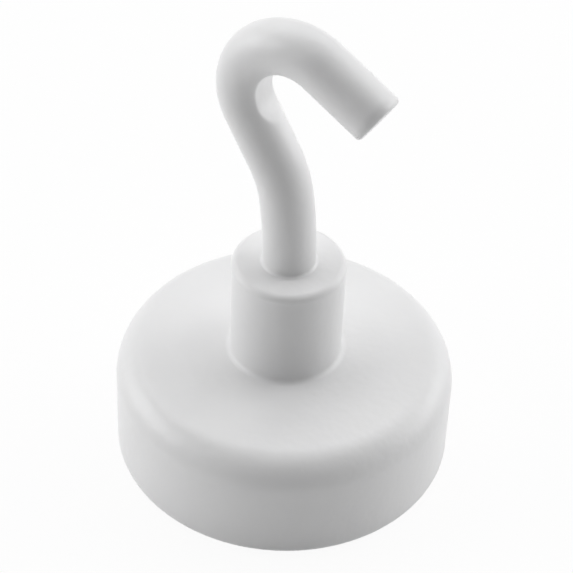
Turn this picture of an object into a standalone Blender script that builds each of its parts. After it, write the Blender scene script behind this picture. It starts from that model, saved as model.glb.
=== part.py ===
# Magnetic hook: a steel pot magnet with a threaded collar and a screwed-in wire hook.
# Metres, +Z up. The origin is at the centre of the magnet's face, and the hook lies in the XZ plane.

from math import cos, pi, radians, sin, sqrt

import bmesh
import bpy
from mathutils import Matrix, Vector

# Steel cup
POT_DIAMETER = 0.0250
POT_HEIGHT = 0.00925
POT_WALL = 0.0019
POT_DOME_ANGLE = radians(5.6)
POT_EDGE_ROLL_RADIUS = 0.0019
POT_EDGE_ROLL_ANGLE = radians(36)
POT_SHOULDER_RADIUS = 0.0026
POT_RIM_RADIUS = 0.0008
POT_MOUTH_CHAMFER = 0.0002

# Magnet and the resin that holds it
MAGNET_THICKNESS = 0.0050
MAGNET_EDGE_RADIUS = 0.0003
RESIN_CHANNEL = 0.0006
RESIN_SETBACK = 0.0002
RESIN_CLEARANCE = 0.00005
BOND_THICKNESS = 0.0003

# Collar staked into the cup's floor
COLLAR_DIAMETER = 0.0082
COLLAR_HEIGHT = 0.00825
COLLAR_EDGE_RADIUS = 0.0005
COLLAR_FOOT_FILLET = 0.00015
SPIGOT_DIAMETER = 0.0060
SPIGOT_CLEARANCE = 0.00005
STAKE_FLARE = 0.0008
MOUTH_CHAMFER = 0.0003
MOUTH_STRAIGHT = 0.0006
SHANK_CLEARANCE = 0.0001

# Thread between collar and hook, made as closed rings so that the hook can turn in it
THREAD_DIAMETER = 0.0040
THREAD_PITCH = 0.0007
THREAD_DEPTH = 0.0004
THREAD_LENGTH = 0.0070
THREAD_CLEARANCE = 0.0001
BORE_RUNOUT = 0.0008
HOOK_END_CHAMFER = 0.0004

# Wire hook, from the collar's top face to the cut tip
WIRE_DIAMETER = 0.00385
SHANK_BOW_RADIUS = 0.0368
SHANK_BOW_ANGLE = radians(8.9)
SWAN_BEND_RADIUS = 0.0085
SWAN_BEND_ANGLE = radians(22.0)
SWAN_STRAIGHT = 0.0039
CROOK_BEND_RADIUS = 0.0041
CROOK_BEND_ANGLE = radians(150.4)
CROOK_FLAT_DEPTH = 0.00033
LEG_LENGTH = 0.0052
TIP_EDGE_RADIUS = 0.0003

# Facets
POT_SIDES = 72
COLLAR_SIDES = 48
WIRE_SIDES = 24
DOME_STEPS = 3
SHOULDER_STEPS = 6
EDGE_STEPS = 3
SHANK_BOW_STEPS = 3
SWAN_BEND_STEPS = 5
CROOK_BEND_STEPS = 20
FLAT_END_STEPS = 2
SHARP_ANGLE = radians(35)
MERGE_SHARE = 0.0001

# Places and radii that follow from the sizes
pot_radius = POT_DIAMETER / 2
recess_radius = pot_radius - POT_WALL
magnet_radius = recess_radius - RESIN_CHANNEL
recess_top = MAGNET_THICKNESS + BOND_THICKNESS
spigot_radius = SPIGOT_DIAMETER / 2
collar_foot = COLLAR_DIAMETER / 2 + COLLAR_FOOT_FILLET
collar_top = POT_HEIGHT + COLLAR_HEIGHT
wire_radius = WIRE_DIAMETER / 2
crook_inner = CROOK_BEND_RADIUS - wire_radius
bending_pin = crook_inner + CROOK_FLAT_DEPTH
flat_end = sqrt(bending_pin**2 - crook_inner**2)
mouth_radius = max(WIRE_DIAMETER, THREAD_DIAMETER) / 2 + SHANK_CLEARANCE
bore_groove = (THREAD_DIAMETER + THREAD_CLEARANCE) / 2
bore_ridge = bore_groove - THREAD_DEPTH
hook_crest = (THREAD_DIAMETER - THREAD_CLEARANCE) / 2
hook_root = hook_crest - THREAD_DEPTH
thread_turns = round(THREAD_LENGTH / THREAD_PITCH)
thread_top = collar_top - MOUTH_STRAIGHT - (mouth_radius - bore_ridge)
thread_bottom = thread_top - thread_turns * THREAD_PITCH


def clear_scene():
    for old in list(bpy.data.objects):
        bpy.data.objects.remove(old, do_unlink=True)


def finish_of(name, colour, roughness, metallic):
    material = bpy.data.materials.new(name)
    material.use_nodes = True
    shader = material.node_tree.nodes["Principled BSDF"]
    shader.inputs["Base Color"].default_value = (*colour, 1)
    shader.inputs["Roughness"].default_value = roughness
    shader.inputs["Metallic"].default_value = metallic
    return material


def arc(centre, radius, start, end, steps):
    """Points of an arc in a turned profile, as (distance from the axis, height)."""
    angles = [start + (end - start) * step / steps for step in range(steps + 1)]
    return [(centre[0] + radius * cos(a), centre[1] + radius * sin(a)) for a in angles]


def make_piece(name, bm, material):
    bmesh.ops.recalc_face_normals(bm, faces=bm.faces)
    mesh = bpy.data.meshes.new(name)
    bm.to_mesh(mesh)
    bm.free()
    mesh.materials.append(material)
    mesh.shade_smooth()
    mesh.set_sharp_from_angle(angle=SHARP_ANGLE)
    piece = bpy.data.objects.new(name, mesh)
    bpy.context.scene.collection.objects.link(piece)
    return piece


def turned_piece(name, profile, sides, material, ring=False):
    """A solid of revolution about Z. Unless it is a ring, its profile starts and ends on the axis."""
    bm = bmesh.new()
    corners = [bm.verts.new((radius, 0, height)) for radius, height in profile]
    edges = [bm.edges.new(ends) for ends in zip(corners, corners[1:])]
    if ring:
        edges.append(bm.edges.new((corners[-1], corners[0])))
    bmesh.ops.spin(
        bm, geom=corners + edges, axis=(0, 0, 1), angle=2 * pi, steps=sides, use_merge=True
    )
    merge_reach = max(radius for radius, height in profile) * MERGE_SHARE
    bmesh.ops.remove_doubles(bm, verts=bm.verts, dist=merge_reach)
    return make_piece(name, bm, material)


def pot_top_profile():
    """From the collar's foot outwards: a faint dome, a tight roll at its edge and a wide one."""
    rolls = [
        (POT_EDGE_ROLL_RADIUS, POT_EDGE_ROLL_ANGLE, EDGE_STEPS),
        (POT_SHOULDER_RADIUS, pi / 2, SHOULDER_STEPS),
    ]
    dome_width = pot_radius - collar_foot
    slope = POT_DOME_ANGLE
    for radius, end_slope, _ in rolls:
        dome_width -= radius * (sin(end_slope) - sin(slope))
        slope = end_slope
    dome_radius = dome_width / sin(POT_DOME_ANGLE)
    points = [(collar_foot, POT_HEIGHT)]
    slope = 0
    for radius, end_slope, steps in [(dome_radius, POT_DOME_ANGLE, DOME_STEPS), *rolls]:
        start = points[-1]
        centre = (start[0] - radius * sin(slope), start[1] - radius * cos(slope))
        points += arc(centre, radius, pi / 2 - slope, pi / 2 - end_slope, steps)[1:]
        slope = end_slope
    return points


def pot_cup(material):
    """Cup that opens downwards. The spigot's hole through its floor is countersunk on the inside."""
    hole_radius = spigot_radius + SPIGOT_CLEARANCE
    rim = (pot_radius - POT_RIM_RADIUS, POT_RIM_RADIUS)
    profile = [
        (hole_radius, POT_HEIGHT),
        *pot_top_profile(),
        *arc(rim, POT_RIM_RADIUS, 0, -pi / 2, EDGE_STEPS),
        (recess_radius + POT_MOUTH_CHAMFER, 0),
        (recess_radius, POT_MOUTH_CHAMFER),
        (recess_radius, recess_top),
        (hole_radius + STAKE_FLARE, recess_top),
        (hole_radius, recess_top + STAKE_FLARE),
    ]
    return turned_piece("pot_cup", profile, POT_SIDES, material, ring=True)


def threaded_collar(material):
    """Collar with a blind threaded bore. It stands on the cup, and its spigot flares inside the floor."""
    outer = COLLAR_DIAMETER / 2
    edge = (outer - COLLAR_EDGE_RADIUS, collar_top - COLLAR_EDGE_RADIUS)
    fillet = (outer + COLLAR_FOOT_FILLET, POT_HEIGHT + COLLAR_FOOT_FILLET)
    bore_end = thread_bottom - BORE_RUNOUT
    profile = [(0, bore_end), (bore_ridge, bore_end), (bore_ridge, thread_bottom)]
    for turn in range(thread_turns):
        height = thread_bottom + turn * THREAD_PITCH
        profile += [(bore_groove, height + THREAD_PITCH / 2), (bore_ridge, height + THREAD_PITCH)]
    profile += [
        (mouth_radius, collar_top - MOUTH_STRAIGHT),
        (mouth_radius, collar_top - MOUTH_CHAMFER),
        (mouth_radius + MOUTH_CHAMFER, collar_top),
        *arc(edge, COLLAR_EDGE_RADIUS, pi / 2, 0, EDGE_STEPS),
        *arc(fillet, COLLAR_FOOT_FILLET, pi, 3 * pi / 2, EDGE_STEPS),
        (spigot_radius, POT_HEIGHT),
        (spigot_radius, recess_top + STAKE_FLARE),
        (spigot_radius + STAKE_FLARE, recess_top),
        (0, recess_top),
    ]
    return turned_piece("threaded_collar", profile, COLLAR_SIDES, material)


def magnet_disc(material):
    """Plated disc with rounded edges. Its lower face is flush with the cup's rim."""
    edge = magnet_radius - MAGNET_EDGE_RADIUS
    upper = (edge, MAGNET_THICKNESS - MAGNET_EDGE_RADIUS)
    lower = (edge, MAGNET_EDGE_RADIUS)
    profile = [
        (0, MAGNET_THICKNESS),
        *arc(upper, MAGNET_EDGE_RADIUS, pi / 2, 0, EDGE_STEPS),
        *arc(lower, MAGNET_EDGE_RADIUS, 0, -pi / 2, EDGE_STEPS),
        (0, 0),
    ]
    return turned_piece("magnet_disc", profile, POT_SIDES, material)


def potting_ring(material):
    """Resin cast round the magnet, a little short of the cup's rim."""
    inner = magnet_radius + RESIN_CLEARANCE
    outer = recess_radius - RESIN_CLEARANCE
    profile = [
        (inner, recess_top),
        (outer, recess_top),
        (outer, RESIN_SETBACK),
        (inner, RESIN_SETBACK),
    ]
    return turned_piece("potting_ring", profile, POT_SIDES, material, ring=True)


def magnet_bond(material):
    """Adhesive between the magnet's back and the floor of the cup."""
    reach = magnet_radius - MAGNET_EDGE_RADIUS
    profile = [
        (0, recess_top),
        (reach, recess_top),
        (reach, MAGNET_THICKNESS),
        (0, MAGNET_THICKNESS),
    ]
    return turned_piece("magnet_bond", profile, POT_SIDES, material)


class Wire:
    """A round bar that grows from its end face. It starts on the Z axis and points up."""

    def __init__(self, radius, height):
        self.bm = bmesh.new()
        self.radius = radius
        self.centre = Vector((0, 0, height))
        self.heading = Vector((0, 0, 1))
        start = bmesh.ops.create_circle(
            self.bm,
            cap_ends=True,
            segments=WIRE_SIDES,
            radius=radius,
            matrix=Matrix.Translation(self.centre),
        )
        self.end = start["verts"][0].link_faces[0]

    def extruded(self):
        """Extrudes the end face in place and returns the corners of the new one."""
        outline = [self.end, *self.end.edges, *self.end.verts]
        grown = bmesh.ops.extrude_face_region(self.bm, geom=outline)
        self.end = next(item for item in grown["geom"] if isinstance(item, bmesh.types.BMFace))
        return list(self.end.verts)

    def straight(self, length, radius=None):
        """Runs on by a length, tapering to a new radius if one is given."""
        corners = self.extruded()
        step = self.heading * length
        bmesh.ops.translate(self.bm, verts=corners, vec=step)
        self.centre = self.centre + step
        if radius:
            scale = radius / self.radius
            to_centre = Matrix.Translation(-self.centre)
            bmesh.ops.scale(self.bm, verts=corners, vec=(scale, scale, scale), space=to_centre)
            self.radius = radius

    def bend(self, radius, angle, steps):
        """Bends towards -X with a positive angle, and towards +X with a negative one."""
        side = self.heading.cross(Vector((0, 1, 0)))
        if angle < 0:
            side = -side
        pivot = self.centre + side * radius
        turn = Matrix.Rotation(-angle / steps, 3, "Y")
        for _ in range(steps):
            bmesh.ops.rotate(self.bm, verts=self.extruded(), cent=pivot, matrix=turn)
            self.centre = pivot + turn @ (self.centre - pivot)
            self.heading = turn @ self.heading
        return pivot

    def press_flat(self, pivot, pin_radius):
        """Flattens the inside of a bend, as the pin does that the wire was bent round."""
        for corner in self.bm.verts:
            reach = Vector((corner.co.x - pivot.x, 0, corner.co.z - pivot.z))
            if reach.length < pin_radius:
                corner.co += reach.normalized() * (pin_radius - reach.length)


def screw_hook(material):
    """Thread, slightly bowed shank, swan-neck bend, crook and cut leg of one wire."""
    wire = Wire(hook_root - HOOK_END_CHAMFER, thread_bottom)
    for _ in range(thread_turns):
        wire.straight(THREAD_PITCH / 2, hook_crest)
        wire.straight(THREAD_PITCH / 2, hook_root)
    runout = wire_radius - hook_root
    wire.straight(runout, wire_radius)
    wire.straight(collar_top - thread_top - runout)
    wire.bend(SHANK_BOW_RADIUS, SHANK_BOW_ANGLE, SHANK_BOW_STEPS)
    wire.bend(SWAN_BEND_RADIUS, SWAN_BEND_ANGLE, SWAN_BEND_STEPS)
    wire.straight(SWAN_STRAIGHT - flat_end)
    for _ in range(FLAT_END_STEPS):
        wire.straight(flat_end / FLAT_END_STEPS)
    pivot = wire.bend(CROOK_BEND_RADIUS, -CROOK_BEND_ANGLE, CROOK_BEND_STEPS)
    for _ in range(FLAT_END_STEPS):
        wire.straight(flat_end / FLAT_END_STEPS)
    wire.straight(LEG_LENGTH - flat_end - TIP_EDGE_RADIUS)
    wire.press_flat(pivot, bending_pin)
    edge = arc((wire_radius - TIP_EDGE_RADIUS, 0), TIP_EDGE_RADIUS, 0, pi / 2, EDGE_STEPS)
    for (_, below), (radius, height) in zip(edge, edge[1:]):
        wire.straight(height - below, radius)
    return make_piece("screw_hook", wire.bm, material)


clear_scene()
paint = finish_of("white powder coat", (0.80, 0.80, 0.81), 0.4, 0.0)
nickel = finish_of("nickel plating", (0.72, 0.70, 0.66), 0.25, 1.0)
resin = finish_of("white epoxy", (0.74, 0.73, 0.70), 0.5, 0.0)
pot_cup(paint)
threaded_collar(paint)
screw_hook(paint)
magnet_disc(nickel)
potting_ring(resin)
magnet_bond(resin)
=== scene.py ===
# Magnetic hook: a white-painted pot magnet with a wire hook screwed into the collar on its back.
# Metres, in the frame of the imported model. The origin is at the centre of the magnet's face.

from math import ceil, cos, exp, hypot, pi, radians, sin

import bmesh
import bpy
from mathutils import Matrix, Quaternion, Vector, noise


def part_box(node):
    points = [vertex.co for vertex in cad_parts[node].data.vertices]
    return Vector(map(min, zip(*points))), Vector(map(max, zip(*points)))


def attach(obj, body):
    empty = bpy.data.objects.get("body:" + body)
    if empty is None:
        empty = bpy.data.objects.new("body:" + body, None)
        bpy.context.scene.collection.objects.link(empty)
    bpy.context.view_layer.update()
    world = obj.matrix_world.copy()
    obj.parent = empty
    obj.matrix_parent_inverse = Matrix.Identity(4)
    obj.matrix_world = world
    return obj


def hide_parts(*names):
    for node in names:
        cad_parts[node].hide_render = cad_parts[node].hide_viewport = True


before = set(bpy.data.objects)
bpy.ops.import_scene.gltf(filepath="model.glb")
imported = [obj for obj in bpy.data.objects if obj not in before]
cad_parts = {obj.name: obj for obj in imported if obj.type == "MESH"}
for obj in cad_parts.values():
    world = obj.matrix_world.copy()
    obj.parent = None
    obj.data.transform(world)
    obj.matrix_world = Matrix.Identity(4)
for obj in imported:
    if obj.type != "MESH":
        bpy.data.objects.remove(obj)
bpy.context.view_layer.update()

MM = 0.001

# Cup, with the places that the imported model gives
pot_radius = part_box("pot_cup")[1].x
pot_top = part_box("pot_cup")[1].z
POT_DOME_SLOPE = radians(5.6)
POT_SHOULDER_ROLLS = [(1.9 * MM, radians(36)), (2.6 * MM, radians(90))]
POT_RIM = 0.8 * MM
POT_MOUTH_CHAMFER = 0.2 * MM
POT_WALL = 1.9 * MM
POT_HOLE = 3.05 * MM
STAKE_FLARE = 0.8 * MM
recess_radius = pot_radius - POT_WALL

# Collar
collar_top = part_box("threaded_collar")[1].z
recess_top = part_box("threaded_collar")[0].z
COLLAR_RADIUS = 4.1 * MM
COLLAR_EDGE = 0.5 * MM
COLLAR_LIP = 0.05 * MM
COLLAR_LIP_LENGTH = 0.3 * MM
COLLAR_LIP_STEPS = 8
COLLAR_FILLET = 0.4 * MM
SPIGOT_RADIUS = 3.0 * MM
MOUTH_RADIUS = 2.02 * MM
MOUTH_EDGE = 0.12 * MM
MOUTH_DEPTH = 0.6 * MM
BORE_RUNOUT = 0.8 * MM

# Thread, as closed rings on hook and bore
THREAD_PITCH = 0.7 * MM
THREAD_TURNS = 10
BORE_GROOVE = 2.05 * MM
BORE_RIDGE = 1.65 * MM
HOOK_CREST = 1.95 * MM
HOOK_ROOT = 1.55 * MM
HOOK_END_CHAMFER = 0.4 * MM
thread_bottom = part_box("screw_hook")[0].z
thread_top = thread_bottom + THREAD_TURNS * THREAD_PITCH

# Wire of the hook: length and bend of each run from the collar's top, bends towards -X positive
WIRE_RADIUS = 1.925 * MM
WIRE_RUNS = [
    (36.8 * MM * radians(8.9), radians(8.9)),
    (8.5 * MM * radians(22.0), radians(22.0)),
    (3.9 * MM, 0),
    (4.1 * MM * radians(150.4), -radians(150.4)),
    (5.2 * MM, 0),
]
BEAD_RADIUS = 0.22 * MM
BEAD_GAP = 0.015 * MM

# Flat that the bending pin has pressed into the crook. Its edge fades out within four softnesses
CROOK_RUN = 3
CROOK_FLAT_DEPTH = 0.33 * MM
CROOK_FLAT_SOFTNESS = 0.03 * MM
CROOK_FLAT_FADE = 4

# Cut tip: its face leans by the slant, and its edge is rolled over towards the roll side
TIP_EDGE = 0.35 * MM
CUT_FACE_SHARES = (0.6, 0.2)
CUT_GRAIN_DEPTH = 0.03 * MM
CUT_GRAIN_PER_METRE = 600
CUT_SLANT = 0.034
CUT_LOW_SIDE = Vector((-0.32, -0.77, -0.56))
CUT_REACH = 1.0 * MM
CUT_ROLL = 1.7
CUT_ROLL_SIDE = Vector((0.38, -0.64, 0.67))
CUT_ROLL_REACH = 1.6 * MM

# Magnet and resin
magnet_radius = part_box("magnet_disc")[1].x
magnet_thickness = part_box("magnet_disc")[1].z
MAGNET_EDGE = 0.3 * MM
RESIN_RISE = 0.06 * MM
RESIN_DIP = 0.26 * MM
RESIN_LAP_ON_MAGNET = 0.02 * MM
RESIN_LAP_ON_CUP = 0.01 * MM
RESIN_STEPS = 12

# Fineness of the meshes
TURNED_SIDES = 240
WIRE_SIDES = 144
LONGEST_STEP = 0.3 * MM
ARC_STEP = radians(4)
SHARP_ANGLE = radians(32)


def arc(centre, radius, start, end):
    """Points of an arc in a turned profile, as (distance from the axis, height)."""
    steps = max(2, ceil(abs(end - start) / ARC_STEP))
    angles = [start + (end - start) * step / steps for step in range(steps + 1)]
    return [(centre[0] + radius * cos(a), centre[1] + radius * sin(a)) for a in angles]


def with_short_steps(profile):
    """The same profile with its long straight stretches cut into short ones, so that it shades evenly."""
    points = [profile[0]]
    for start, end in zip(profile, profile[1:]):
        cuts = max(1, ceil(hypot(end[0] - start[0], end[1] - start[1]) / LONGEST_STEP))
        for cut in range(1, cuts + 1):
            share = cut / cuts
            points.append((start[0] + (end[0] - start[0]) * share, start[1] + (end[1] - start[1]) * share))
    return points


def stitched(name, rings, closed_ends, looped=False):
    """A piece from rings of points, each joined to the next."""
    bm = bmesh.new()
    loops = [[bm.verts.new(point) for point in ring] for ring in rings]
    pairs = list(zip(loops, loops[1:]))
    if looped:
        pairs.append((loops[-1], loops[0]))
    for near, far in pairs:
        for side in range(len(near)):
            beyond = (side + 1) % len(near)
            bm.faces.new((near[side], near[beyond], far[beyond], far[side]))
    if closed_ends:
        bm.faces.new(loops[0])
        bm.faces.new(loops[-1])
    bmesh.ops.recalc_face_normals(bm, faces=bm.faces)
    mesh = bpy.data.meshes.new(name)
    bm.to_mesh(mesh)
    bm.free()
    mesh.shade_smooth()
    mesh.set_sharp_from_angle(angle=SHARP_ANGLE)
    piece = bpy.data.objects.new(name, mesh)
    bpy.context.scene.collection.objects.link(piece)
    return piece


def turned(name, profile, ring=False):
    """A solid of revolution about Z, from its profile of radius and height. Flat faces close its ends."""
    fine = with_short_steps(profile + profile[:1] if ring else profile)
    if ring:
        fine = fine[:-1]
    turns = [2 * pi * side / TURNED_SIDES for side in range(TURNED_SIDES)]
    rings = [[(r * cos(t), r * sin(t), z) for t in turns] for r, z in fine]
    return stitched(name, rings, closed_ends=not ring, looped=ring)


def rolled_shoulder():
    """Top of the cup from the collar's foot outwards: a faint dome, a tight roll, then a wide one."""
    foot = COLLAR_RADIUS + COLLAR_FILLET
    roll_width = 0
    slope = POT_DOME_SLOPE
    for radius, end_slope in POT_SHOULDER_ROLLS:
        roll_width += radius * (sin(end_slope) - sin(slope))
        slope = end_slope
    dome_radius = (pot_radius - foot - roll_width) / sin(POT_DOME_SLOPE)
    points = [(foot, pot_top)]
    slope = 0
    for radius, end_slope in [(dome_radius, POT_DOME_SLOPE), *POT_SHOULDER_ROLLS]:
        centre = (points[-1][0] - radius * sin(slope), points[-1][1] - radius * cos(slope))
        points += arc(centre, radius, pi / 2 - slope, pi / 2 - end_slope)[1:]
        slope = end_slope
    return points


def painted_cup():
    """Deep-drawn cup. The wide shoulder comes from the drawing die, the small rim from deburring."""
    rim = (pot_radius - POT_RIM, POT_RIM)
    profile = [
        (POT_HOLE, pot_top),
        *rolled_shoulder(),
        *arc(rim, POT_RIM, 0, -pi / 2),
        (recess_radius + POT_MOUTH_CHAMFER, 0),
        (recess_radius, POT_MOUTH_CHAMFER),
        (recess_radius, recess_top),
        (POT_HOLE + STAKE_FLARE, recess_top),
        (POT_HOLE, recess_top + STAKE_FLARE),
    ]
    return turned("painted_cup", profile, ring=True)


def painted_collar():
    """Collar with its tapped bore. Paint has run into a fillet at its foot and a faint lip at its rim."""
    edge = (COLLAR_RADIUS + COLLAR_LIP - COLLAR_EDGE, collar_top - COLLAR_EDGE)
    lip = []
    for step in range(1, COLLAR_LIP_STEPS + 1):
        share = step / COLLAR_LIP_STEPS
        radius = COLLAR_RADIUS + COLLAR_LIP * (1 + cos(pi * share)) / 2
        lip.append((radius, edge[1] - COLLAR_LIP_LENGTH * share))
    fillet = (COLLAR_RADIUS + COLLAR_FILLET, pot_top + COLLAR_FILLET)
    mouth = (MOUTH_RADIUS + MOUTH_EDGE, collar_top - MOUTH_EDGE)
    bore_end = thread_bottom - BORE_RUNOUT
    profile = [(BORE_RIDGE / 2, bore_end), (BORE_RIDGE, bore_end), (BORE_RIDGE, thread_bottom)]
    for turn in range(THREAD_TURNS):
        height = thread_bottom + turn * THREAD_PITCH
        profile += [(BORE_GROOVE, height + THREAD_PITCH / 2), (BORE_RIDGE, height + THREAD_PITCH)]
    profile += [
        (MOUTH_RADIUS, collar_top - MOUTH_DEPTH),
        *arc(mouth, MOUTH_EDGE, pi, pi / 2),
        *arc(edge, COLLAR_EDGE, pi / 2, 0),
        *lip,
        *arc(fillet, COLLAR_FILLET, pi, 3 * pi / 2),
        (SPIGOT_RADIUS, pot_top),
        (SPIGOT_RADIUS, recess_top + STAKE_FLARE),
        (SPIGOT_RADIUS + STAKE_FLARE, recess_top),
        (SPIGOT_RADIUS / 2, recess_top),
    ]
    return turned("painted_collar", profile)


def wire_place(distance):
    """Centre and heading of the wire at a distance above the collar's top, or below it if negative."""
    centre = Vector((0, 0, collar_top))
    heading = Vector((0, 0, 1))
    if distance <= 0:
        return centre + heading * distance, heading
    for length, bend in WIRE_RUNS:
        here = min(distance, length)
        if bend:
            side = heading.cross(Vector((0, 1, 0)))
            turn = Matrix.Rotation(-bend * here / length, 3, "Y")
            pivot = centre + side * (length / bend)
            centre = pivot + turn @ (centre - pivot)
            heading = turn @ heading
        else:
            centre = centre + heading * here
        distance -= here
        if distance <= 0:
            break
    return centre, heading


def bending_pin():
    """Axis and radius of the pin that the crook was bent round. It has pressed a flat into the wire."""
    before = sum(length for length, _ in WIRE_RUNS[:CROOK_RUN])
    length, bend = WIRE_RUNS[CROOK_RUN]
    centre, heading = wire_place(before)
    bend_radius = length / abs(bend)
    axis = centre + heading.cross(Vector((0, -1, 0))) * bend_radius
    return axis, bend_radius - WIRE_RADIUS + CROOK_FLAT_DEPTH


def clear_of_pin(point, axis, pin_radius):
    """The point, pushed out of the pin. The paint has softened the flat's edges a little."""
    reach = Vector((point.x - axis.x, 0, point.z - axis.z))
    depth = pin_radius - reach.length
    if depth < -CROOK_FLAT_FADE * CROOK_FLAT_SOFTNESS:
        return point
    push = (depth + hypot(depth, CROOK_FLAT_SOFTNESS)) / 2
    return point + reach.normalized() * push


def painted_hook():
    """One wire: thread, shank, swan-neck, crook and cut tip, with the paint bead at its foot."""
    below = thread_bottom - collar_top
    girth = [(below, HOOK_ROOT - HOOK_END_CHAMFER)]
    for turn in range(THREAD_TURNS):
        start = below + turn * THREAD_PITCH
        girth += [(start + THREAD_PITCH / 2, HOOK_CREST), (start + THREAD_PITCH, HOOK_ROOT)]
    runout = thread_top - collar_top + WIRE_RADIUS - HOOK_ROOT
    bead = (BEAD_GAP + BEAD_RADIUS, WIRE_RADIUS + BEAD_RADIUS)
    whole = sum(length for length, _ in WIRE_RUNS)
    tip = (whole - TIP_EDGE, WIRE_RADIUS - TIP_EDGE)
    girth += [
        (runout, WIRE_RADIUS),
        (BEAD_GAP, WIRE_RADIUS),
        *arc(bead, BEAD_RADIUS, pi, 3 * pi / 2),
        *arc(tip, TIP_EDGE, pi / 2, 0),
        *[(whole, (WIRE_RADIUS - TIP_EDGE) * share) for share in CUT_FACE_SHARES],
    ]
    axis, pin_radius = bending_pin()
    rings = []
    for distance, radius in with_short_steps(girth):
        centre, heading = wire_place(min(distance, whole))
        side = heading.cross(Vector((0, 1, 0)))
        ring = []
        for step in range(WIRE_SIDES):
            turn = 2 * pi * step / WIRE_SIDES
            outward = side * cos(turn) + Vector((0, sin(turn), 0))
            point = clear_of_pin(centre + outward * radius, axis, pin_radius)
            # The cutter left the face two degrees off square and rolled its edge over where it went in
            reach = max(0, distance - whole + CUT_REACH) / CUT_REACH
            low = (point - centre).dot(CUT_LOW_SIDE) + WIRE_RADIUS
            point -= heading * (reach * CUT_SLANT * low)
            back = whole - distance
            roll = max(0, outward.dot(CUT_ROLL_SIDE)) * CUT_ROLL
            point -= heading * (roll * min(back, TIP_EDGE * exp(-max(0, back - TIP_EDGE) / CUT_ROLL_REACH)))
            if distance >= whole and radius < WIRE_RADIUS - TIP_EDGE:
                grain = noise.noise(point * CUT_GRAIN_PER_METRE) - 1
                point += heading * (CUT_GRAIN_DEPTH * grain)
            ring.append(point)
        rings.append(ring)
    return stitched("painted_hook", rings, closed_ends=True)


def plated_magnet():
    """Sintered disc, ground and plated. Only its lower face and edge can be seen."""
    edge = magnet_radius - MAGNET_EDGE
    profile = [
        (edge / 4, magnet_thickness),
        *arc((edge, magnet_thickness - MAGNET_EDGE), MAGNET_EDGE, pi / 2, 0),
        *arc((edge, MAGNET_EDGE), MAGNET_EDGE, 0, -pi / 2),
        (edge / 4, 0),
    ]
    return turned("plated_magnet", profile)


def cast_resin():
    """Resin that has wetted both walls of its channel and sunk between them."""
    inner = magnet_radius - RESIN_LAP_ON_MAGNET
    outer = recess_radius + RESIN_LAP_ON_CUP
    meniscus = []
    for step in range(RESIN_STEPS + 1):
        share = step / RESIN_STEPS
        height = RESIN_RISE + (RESIN_DIP - RESIN_RISE) * (1 - (2 * share - 1) ** 2)
        meniscus.append((outer + (inner - outer) * share, height))
    return turned("cast_resin", [(inner, recess_top), (outer, recess_top), *meniscus], ring=True)


def linear(hex_colour):
    """An sRGB hex colour as linear red, green, blue and alpha."""
    values = [int(hex_colour[i : i + 2], 16) / 255 for i in (1, 3, 5)]
    return (*[v / 12.92 if v <= 0.04045 else ((v + 0.055) / 1.055) ** 2.4 for v in values], 1)


def per_metre(size_mm):
    """Texture scale for features of a size in millimetres."""
    return 1 / (size_mm * MM)


def add_node(tree, kind, settings=(), links=()):
    """Adds a node. Settings are its properties or input values, links its inputs and their sources."""
    new = tree.nodes.new(kind)
    for key, value in dict(settings).items():
        if isinstance(key, int) or key in new.inputs:
            new.inputs[key].default_value = value
        else:
            setattr(new, key, value)
    for key, source in dict(links).items():
        tree.links.new(source, new.inputs[key])
    return new


def new_material(name):
    material = bpy.data.materials.new(name)
    material.use_nodes = True
    material.node_tree.nodes.clear()
    return material, material.node_tree


def white_powder_coat():
    """Polyester powder coat, baked on steel: an even semi-gloss white with a faint orange peel."""
    material, tree = new_material("semi_gloss_powder_coat")
    place = add_node(tree, "ShaderNodeTexCoord").outputs["Object"]
    # Film thickness drifts over several millimetres, which shifts the white a little
    film = add_node(
        tree, "ShaderNodeTexNoise", {"Scale": per_metre(5.0), "Detail": 2.0}, {"Vector": place}
    )
    white = add_node(
        tree,
        "ShaderNodeMix",
        {"data_type": "RGBA", 6: linear("#E6E6E7"), 7: linear("#EAEAEA")},
        {0: film.outputs["Fac"]},
    )
    # Orange peel of about 0.9 mm, from the powder flowing out in the oven
    peel = add_node(
        tree, "ShaderNodeTexNoise", {"Scale": per_metre(0.9), "Detail": 1.5}, {"Vector": place}
    )
    gloss = add_node(
        tree,
        "ShaderNodeMapRange",
        {"To Min": 0.36, "To Max": 0.44},
        {"Value": peel.outputs["Fac"]},
    )
    relief = add_node(
        tree,
        "ShaderNodeBump",
        {"Strength": 1.0, "Distance": 0.03 * MM},
        {"Height": peel.outputs["Fac"]},
    )
    shader = add_node(
        tree,
        "ShaderNodeBsdfPrincipled",
        {"IOR": 1.5},
        {
            "Base Color": white.outputs[2],
            "Roughness": gloss.outputs["Result"],
            "Normal": relief.outputs["Normal"],
        },
    )
    add_node(tree, "ShaderNodeOutputMaterial", (), {"Surface": shader.outputs["BSDF"]})
    return material


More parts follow.
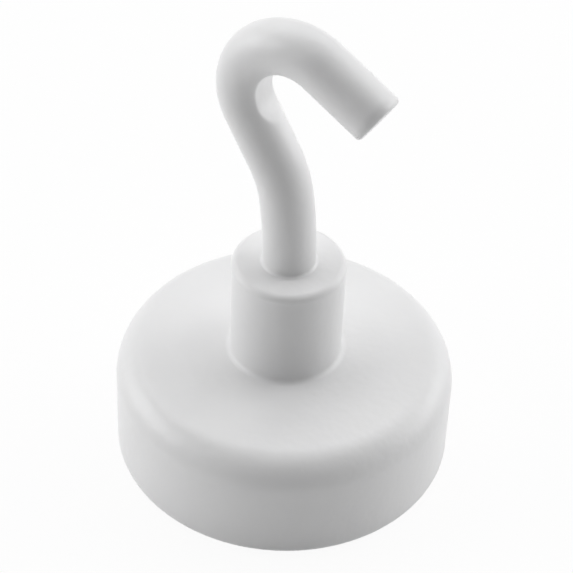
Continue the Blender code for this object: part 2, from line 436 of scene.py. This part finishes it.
def nickel_plating():
    """Bright nickel over ground neodymium: a warm grey metal with fine marks from handling."""
    material, tree = new_material("bright_nickel_plate")
    place = add_node(tree, "ShaderNodeTexCoord").outputs["Object"]
    stain = add_node(
        tree, "ShaderNodeTexNoise", {"Scale": per_metre(6.0), "Detail": 3.0}, {"Vector": place}
    )
    metal = add_node(
        tree,
        "ShaderNodeMix",
        {"data_type": "RGBA", 6: linear("#D6D2CA"), 7: linear("#E0DCD5")},
        {0: stain.outputs["Fac"]},
    )
    # Grinding lines run one way across the disc. Real ones are 0.03 mm apart, drawn at 0.25 mm to show
    along = add_node(
        tree, "ShaderNodeMapping", {"Scale": (per_metre(0.25), per_metre(12.0), 1.0)}, {"Vector": place}
    )
    lines = add_node(
        tree,
        "ShaderNodeTexNoise",
        {"Scale": 1.0, "Detail": 3.0, "Roughness": 0.6},
        {"Vector": along.outputs["Vector"]},
    )
    gloss = add_node(
        tree,
        "ShaderNodeMapRange",
        {"From Min": 0.3, "From Max": 0.7, "To Min": 0.18, "To Max": 0.34},
        {"Value": lines.outputs["Fac"]},
    )
    relief = add_node(
        tree,
        "ShaderNodeBump",
        {"Strength": 0.4, "Distance": 0.003 * MM},
        {"Height": lines.outputs["Fac"]},
    )
    shader = add_node(
        tree,
        "ShaderNodeBsdfPrincipled",
        {"Metallic": 1.0},
        {
            "Base Color": metal.outputs[2],
            "Roughness": gloss.outputs["Result"],
            "Normal": relief.outputs["Normal"],
        },
    )
    add_node(tree, "ShaderNodeOutputMaterial", (), {"Surface": shader.outputs["BSDF"]})
    return material


def cast_epoxy():
    """Two-part epoxy, poured and cured: an off-white with a waxy skin and faint clouds of filler."""
    material, tree = new_material("cast_epoxy")
    place = add_node(tree, "ShaderNodeTexCoord").outputs["Object"]
    filler = add_node(
        tree, "ShaderNodeTexNoise", {"Scale": per_metre(1.2), "Detail": 4.0}, {"Vector": place}
    )
    tone = add_node(
        tree,
        "ShaderNodeMix",
        {"data_type": "RGBA", 6: linear("#D6D3CB"), 7: linear("#E4E1DA")},
        {0: filler.outputs["Fac"]},
    )
    gloss = add_node(
        tree,
        "ShaderNodeMapRange",
        {"To Min": 0.40, "To Max": 0.62},
        {"Value": filler.outputs["Fac"]},
    )
    ripple = add_node(
        tree,
        "ShaderNodeBump",
        {"Strength": 0.5, "Distance": 0.02 * MM},
        {"Height": filler.outputs["Fac"]},
    )
    shader = add_node(
        tree,
        "ShaderNodeBsdfPrincipled",
        {"IOR": 1.55},
        {
            "Base Color": tone.outputs[2],
            "Roughness": gloss.outputs["Result"],
            "Normal": ripple.outputs["Normal"],
        },
    )
    add_node(tree, "ShaderNodeOutputMaterial", (), {"Surface": shader.outputs["BSDF"]})
    return material


def dress(piece, material, slot, body, *nodes):
    """Gives a piece its material, and puts it in place of its CAD nodes. The slot argument is not used."""
    piece.data.materials.clear()
    piece.data.materials.append(material)
    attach(piece, body)
    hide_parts(*nodes)


paint = white_powder_coat()
nickel = nickel_plating()
epoxy = cast_epoxy()
dress(painted_cup(), paint, "white_powder_coat", "base", "pot_cup")
dress(painted_collar(), paint, "white_powder_coat", "base", "threaded_collar")
dress(painted_hook(), paint, "white_powder_coat", "hook", "screw_hook")
dress(plated_magnet(), nickel, "nickel_plating", "base", "magnet_disc")
dress(cast_resin(), epoxy, "white_epoxy", "base", "potting_ring")
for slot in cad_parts["magnet_bond"].material_slots:
    slot.material = epoxy

# Camera of the photograph: direction and distance from its aim point, roll, lens and sensor (mm)
VIEW_AZIMUTH = radians(30.43)
VIEW_ELEVATION = radians(41.77)
VIEW_ROLL = radians(2.408)
VIEW_DISTANCE = 159.66 * MM
VIEW_AIM = Vector((-0.080, -0.081, 14.968)) * MM
VIEW_LENS = 139.14
SENSOR_WIDTH = 36
NEAREST_SEEN = 1 * MM
FARTHEST_SEEN = 10


def seen_from(azimuth, elevation):
    """Direction from the object to something at an azimuth and elevation; azimuth 0 is -Y."""
    return Vector(
        (sin(azimuth) * cos(elevation), -cos(azimuth) * cos(elevation), sin(elevation))
    )


def photo_camera():
    camera = bpy.data.objects.new("photo_camera", bpy.data.cameras.new("photo_camera"))
    bpy.context.scene.collection.objects.link(camera)
    back = seen_from(VIEW_AZIMUTH, VIEW_ELEVATION)
    camera.location = VIEW_AIM + back * VIEW_DISTANCE
    camera.rotation_mode = "QUATERNION"
    camera.rotation_quaternion = back.to_track_quat("Z", "Y") @ Quaternion((0, 0, 1), VIEW_ROLL)
    camera.data.lens = VIEW_LENS
    camera.data.sensor_width = SENSOR_WIDTH
    camera.data.clip_start = NEAREST_SEEN
    camera.data.clip_end = FARTHEST_SEEN
    bpy.context.scene.camera = camera


def seen_share(tree):
    """One for rays that show the background, from the camera, a reflection or through glass."""
    path = add_node(tree, "ShaderNodeLightPath")
    total = add_node(
        tree,
        "ShaderNodeMath",
        {"operation": "ADD"},
        {0: path.outputs["Is Camera Ray"], 1: path.outputs["Is Glossy Ray"]},
    )
    return add_node(
        tree,
        "ShaderNodeMath",
        {"operation": "ADD", "use_clamp": True},
        {0: total.outputs[0], 1: path.outputs["Is Transmission Ray"]},
    )


# Floor in metres. It keeps the shadow near the object, and turns as white as the backdrop farther out
FLOOR_SIZE = 4.0
FLOOR_GLOW_NEAR = 0.93
FLOOR_GLOW_FAR = 1.0
FLOOR_FADE_START = 0.25
FLOOR_FADE_END = 0.9


def pale_floor():
    """White paper on the table. Seen directly it is nearly all glow, and keeps a light shadow."""
    material, tree = new_material("pale_floor")
    paper = add_node(tree, "ShaderNodeBsdfDiffuse", {"Color": linear("#FAFAFA")})
    glow = add_node(tree, "ShaderNodeEmission", {"Color": linear("#FFFFFF")})
    place = add_node(tree, "ShaderNodeTexCoord").outputs["Object"]
    distance = add_node(tree, "ShaderNodeVectorMath", {"operation": "LENGTH"}, {0: place})
    whiteness = add_node(
        tree,
        "ShaderNodeMapRange",
        {
            "From Min": FLOOR_FADE_START,
            "From Max": FLOOR_FADE_END,
            "To Min": FLOOR_GLOW_NEAR,
            "To Max": FLOOR_GLOW_FAR,
        },
        {"Value": distance.outputs["Value"]},
    )
    share = add_node(
        tree,
        "ShaderNodeMath",
        {"operation": "MULTIPLY"},
        {0: seen_share(tree).outputs[0], 1: whiteness.outputs["Result"]},
    )
    both = add_node(
        tree,
        "ShaderNodeMixShader",
        (),
        {0: share.outputs[0], 1: paper.outputs["BSDF"], 2: glow.outputs["Emission"]},
    )
    # One-sided, so that the magnet's face can be looked at from below
    side = add_node(tree, "ShaderNodeNewGeometry")
    clear = add_node(tree, "ShaderNodeBsdfTransparent")
    one_sided = add_node(
        tree,
        "ShaderNodeMixShader",
        (),
        {0: side.outputs["Backfacing"], 1: both.outputs[0], 2: clear.outputs["BSDF"]},
    )
    add_node(tree, "ShaderNodeOutputMaterial", (), {"Surface": one_sided.outputs[0]})
    bm = bmesh.new()
    bmesh.ops.create_grid(bm, x_segments=1, y_segments=1, size=FLOOR_SIZE / 2)
    mesh = bpy.data.meshes.new("pale_floor")
    bm.to_mesh(mesh)
    bm.free()
    mesh.materials.append(material)
    floor = bpy.data.objects.new("pale_floor", mesh)
    bpy.context.scene.collection.objects.link(floor)


def white_world():
    """White where it is seen, and no light of its own: the softboxes give it all."""
    world = bpy.data.worlds.new("white_world")
    world.use_nodes = True
    tree = world.node_tree
    tree.nodes.clear()
    sky = add_node(
        tree,
        "ShaderNodeBackground",
        {"Color": linear("#FFFFFF")},
        {"Strength": seen_share(tree).outputs[0]},
    )
    add_node(tree, "ShaderNodeOutputWorld", (), {"Surface": sky.outputs["Background"]})
    bpy.context.scene.world = world


# Softboxes: azimuth from the camera's side and elevation (degrees), width and height (metres), watts
SOFTBOX_DISTANCE = 0.6
SOFTBOXES = {
    "left_softbox": (-90, 18, 0.46, 0.34, 1.92),
    "right_softbox": (105, 18, 0.46, 0.34, 1.52),
    "back_left_softbox": (-135, 56, 0.42, 0.36, 0.96),
    "back_right_softbox": (135, 56, 0.42, 0.36, 0.90),
    "back_softbox": (180, 56, 0.42, 0.36, 0.39),
    "right_top_softbox": (90, 56, 0.42, 0.36, 0.38),
    "front_top_softbox": (0, 78, 0.42, 0.36, 0.35),
}


def hang_softbox(name, azimuth, elevation, width, height, watts):
    lamp = bpy.data.lights.new(name, "AREA")
    lamp.shape = "RECTANGLE"
    lamp.size = width
    lamp.size_y = height
    lamp.energy = watts
    softbox = bpy.data.objects.new(name, lamp)
    bpy.context.scene.collection.objects.link(softbox)
    back = seen_from(VIEW_AZIMUTH + radians(azimuth), radians(elevation))
    softbox.location = back * SOFTBOX_DISTANCE
    softbox.rotation_mode = "QUATERNION"
    softbox.rotation_quaternion = back.to_track_quat("Z", "Y")


photo_camera()
pale_floor()
white_world()
for name, place in SOFTBOXES.items():
    hang_softbox(name, *place)
bpy.context.scene.view_settings.view_transform = "Standard"
